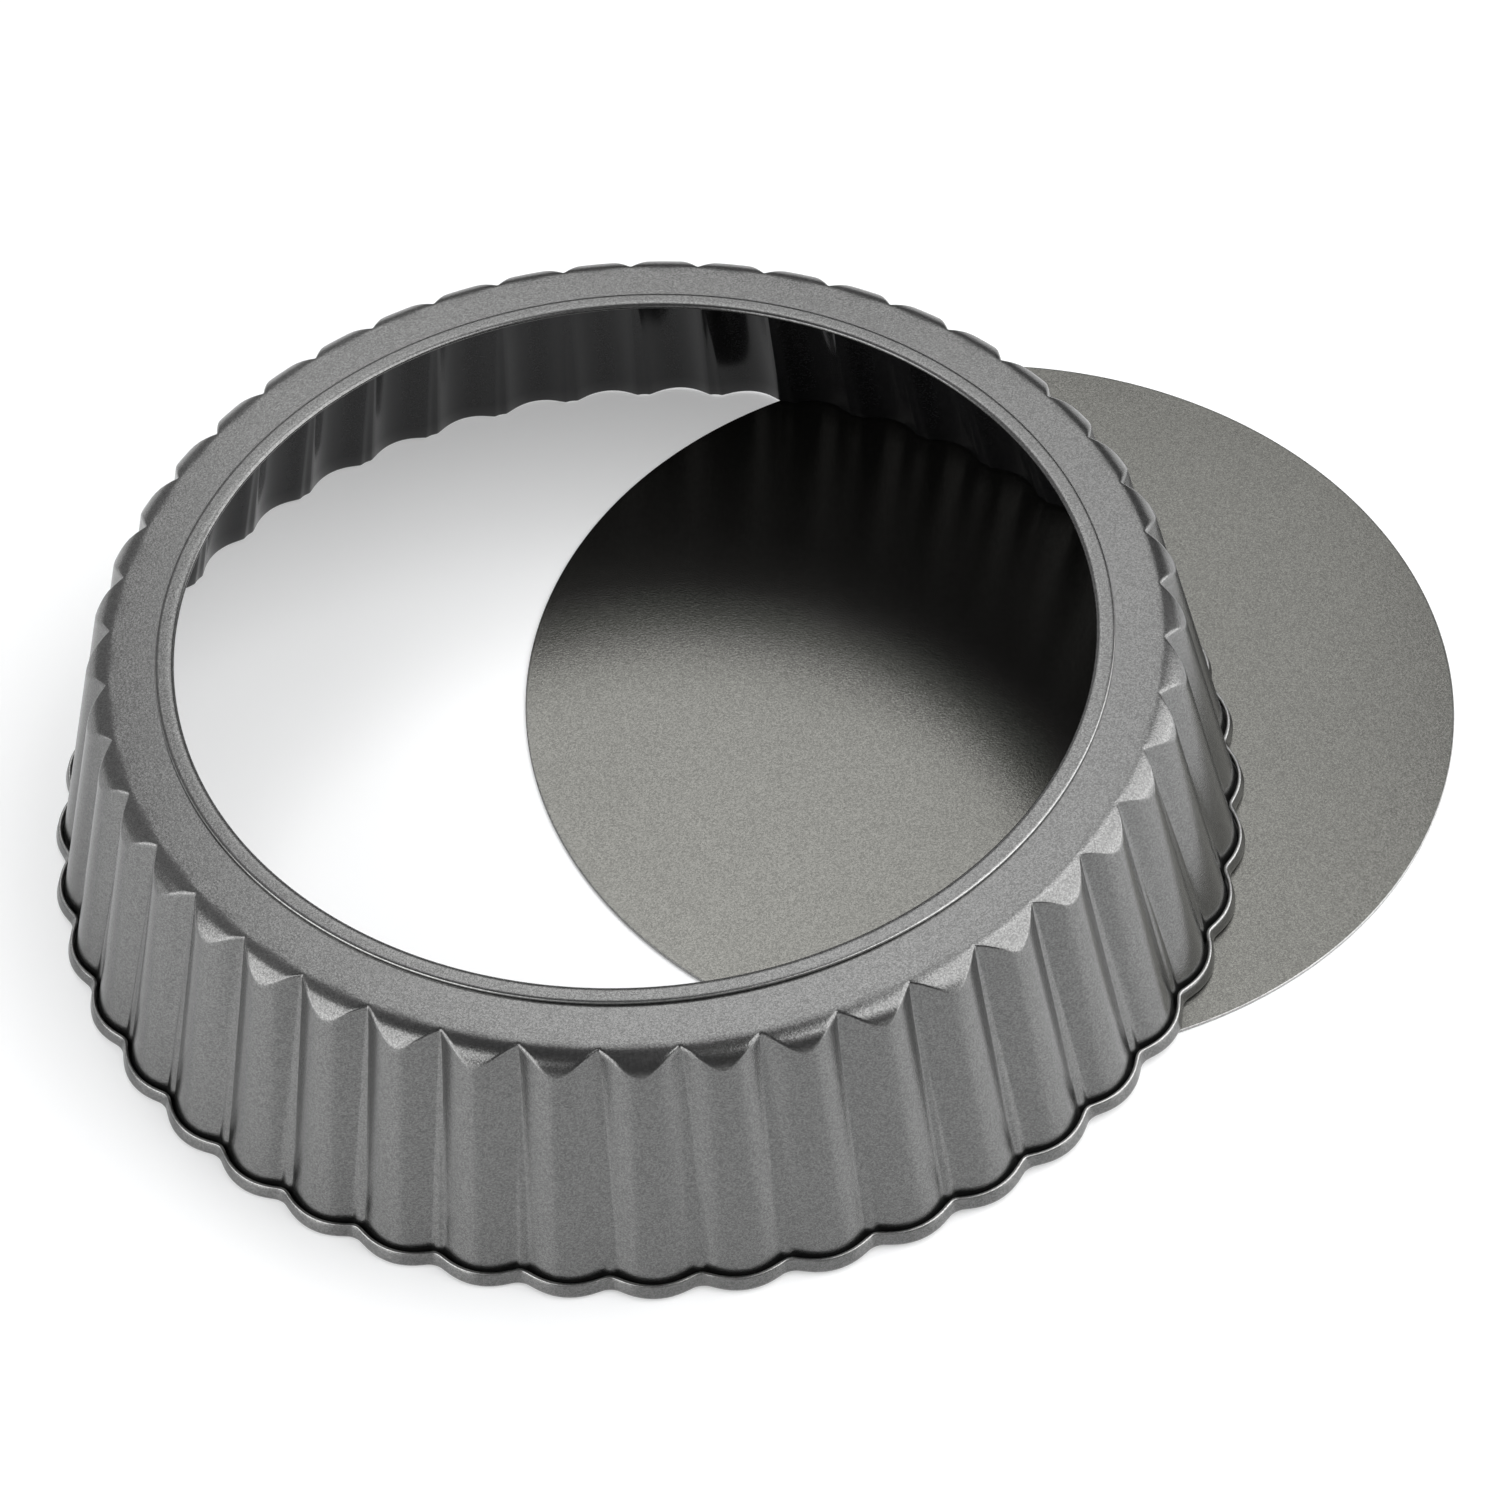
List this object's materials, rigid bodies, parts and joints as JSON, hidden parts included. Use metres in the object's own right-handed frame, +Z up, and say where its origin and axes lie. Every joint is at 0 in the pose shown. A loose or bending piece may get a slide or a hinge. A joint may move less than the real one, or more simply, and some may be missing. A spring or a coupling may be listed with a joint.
{
  "type": "loose-bottom tart pan",
  "caption": "Round fluted tart pan whose flat loose base is separate: the ring stands upside down over the edge of the base.",
  "frame": {"origin": "centre of the loose base's underside, on the surface that the pan lies on", "axes": "+Z up from that surface, +X from the ring's axis towards the base's axis, along the pair's longest extent"},
  "size_m": [0.3036, 0.2507, 0.0557],
  "materials": {
    "ring_coating": "satin grey non-stick coating with a fine metallic sparkle, on sheet steel",
    "base_coating": "satin grey non-stick coating with a fine metallic sparkle, on sheet steel"
  },
  "bodies": {
    "base": {"loose_base": "base_coating"},
    "ring": {"fluted_ring": "ring_coating"}
  },
  "joints": [
    {"name": "ring_lift", "type": "slide", "parent": "base", "child": "ring", "axis": [0, 0, 1], "range_m": [0, 0.08]}
  ]
}
